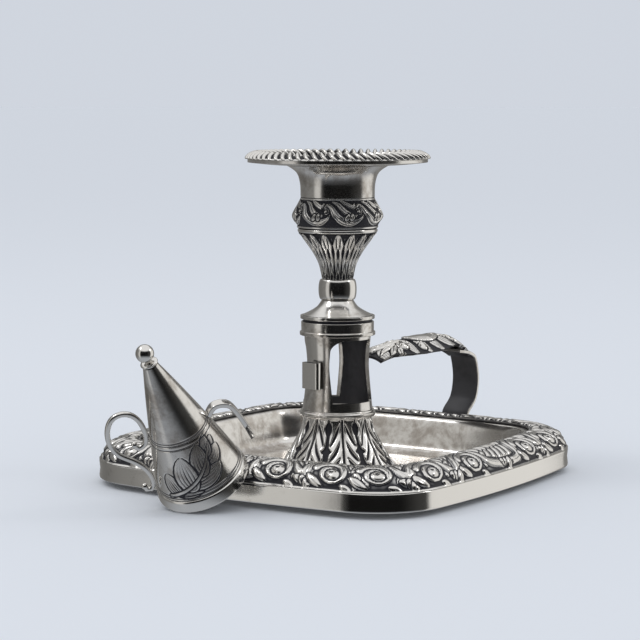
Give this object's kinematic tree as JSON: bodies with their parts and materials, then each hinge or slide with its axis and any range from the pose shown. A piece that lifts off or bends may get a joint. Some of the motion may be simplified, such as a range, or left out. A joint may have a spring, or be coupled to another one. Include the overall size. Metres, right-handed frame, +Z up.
{
  "type": "chamber candlestick",
  "caption": "Low silver candlestick on a square tray with a pierced column, a lift-out nozzle, a strap handle with leaf thumb-piece and a loose cone extinguisher on the rim.",
  "frame": {"origin": "on the column's axis, on the surface the tray stands on", "axes": "+Z up along the column; the tray's sides lie square to X and Y; the handle stands on the +X side, turned 11.5 degrees towards -Y, and the extinguisher leans on the -X side"},
  "size_m": [0.1671, 0.13, 0.1078],
  "materials": {
    "plain_silver": "polished silver plate, worn and lightly tarnished",
    "bright_silver": "bright polished silver plate with fine rubbing marks",
    "chased_silver": "cast and chased silver, bright on the high parts and black in the recesses"
  },
  "bodies": {
    "holder": {"tray_pan": "plain_silver", "lower_collar": "plain_silver", "slotted_stem": "plain_silver", "upper_collar": "plain_silver", "shoulder": "plain_silver", "candle_stop": "plain_silver", "capital_neck": "plain_silver", "tray_rim_band": "bright_silver", "hook_socket": "bright_silver", "knop": "bright_silver", "calyx_wire": "bright_silver", "handle_strap": "bright_silver", "tray_border": "chased_silver", "foot_skirt": "chased_silver", "calyx": "chased_silver", "scroll_band": "chased_silver", "thumb_piece": "chased_silver"},
    "nozzle": {"nozzle_sleeve": "plain_silver", "drip_pan": "plain_silver", "gadroon_rim": "chased_silver"},
    "extinguisher": {"extinguisher_cone": "bright_silver", "extinguisher_band": "bright_silver", "finial_collar": "bright_silver", "finial_ball": "bright_silver", "scroll_handle": "bright_silver", "hook": "bright_silver"}
  },
  "joints": [
    {"name": "nozzle_lift", "type": "slide", "parent": "holder", "child": "nozzle", "axis": [0, 0, 1], "range_m": [0, 0.04]},
    {"name": "extinguisher_lift", "type": "slide", "parent": "holder", "child": "extinguisher", "axis": [0, 0, 1], "range_m": [0, 0.12]}
  ]
}
